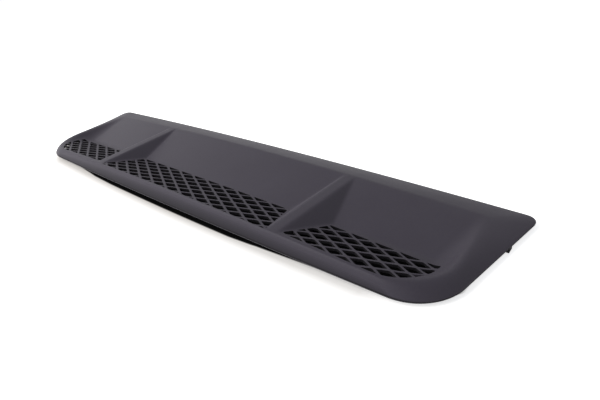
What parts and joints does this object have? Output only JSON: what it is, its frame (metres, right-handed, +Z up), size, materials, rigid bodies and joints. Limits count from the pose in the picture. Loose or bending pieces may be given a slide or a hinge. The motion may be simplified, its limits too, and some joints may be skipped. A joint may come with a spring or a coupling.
{
  "type": "air inlet cover",
  "caption": "One-piece moulded air inlet cover: a low crowned blister with recessed pockets, sloping ridges and a diamond grille along the front of each pocket.",
  "frame": {"origin": "middle of the plan, level with the foot of the end tabs", "axes": "+X along the length, +Y to the wider rear edge, +Z up, out of the panel the cover is fixed on"},
  "size_m": [0.62, 0.152, 0.0246],
  "materials": {
    "moulding": "fine-grained satin black"
  },
  "bodies": {
    "root": {"cover": "moulding"}
  },
  "joints": []
}
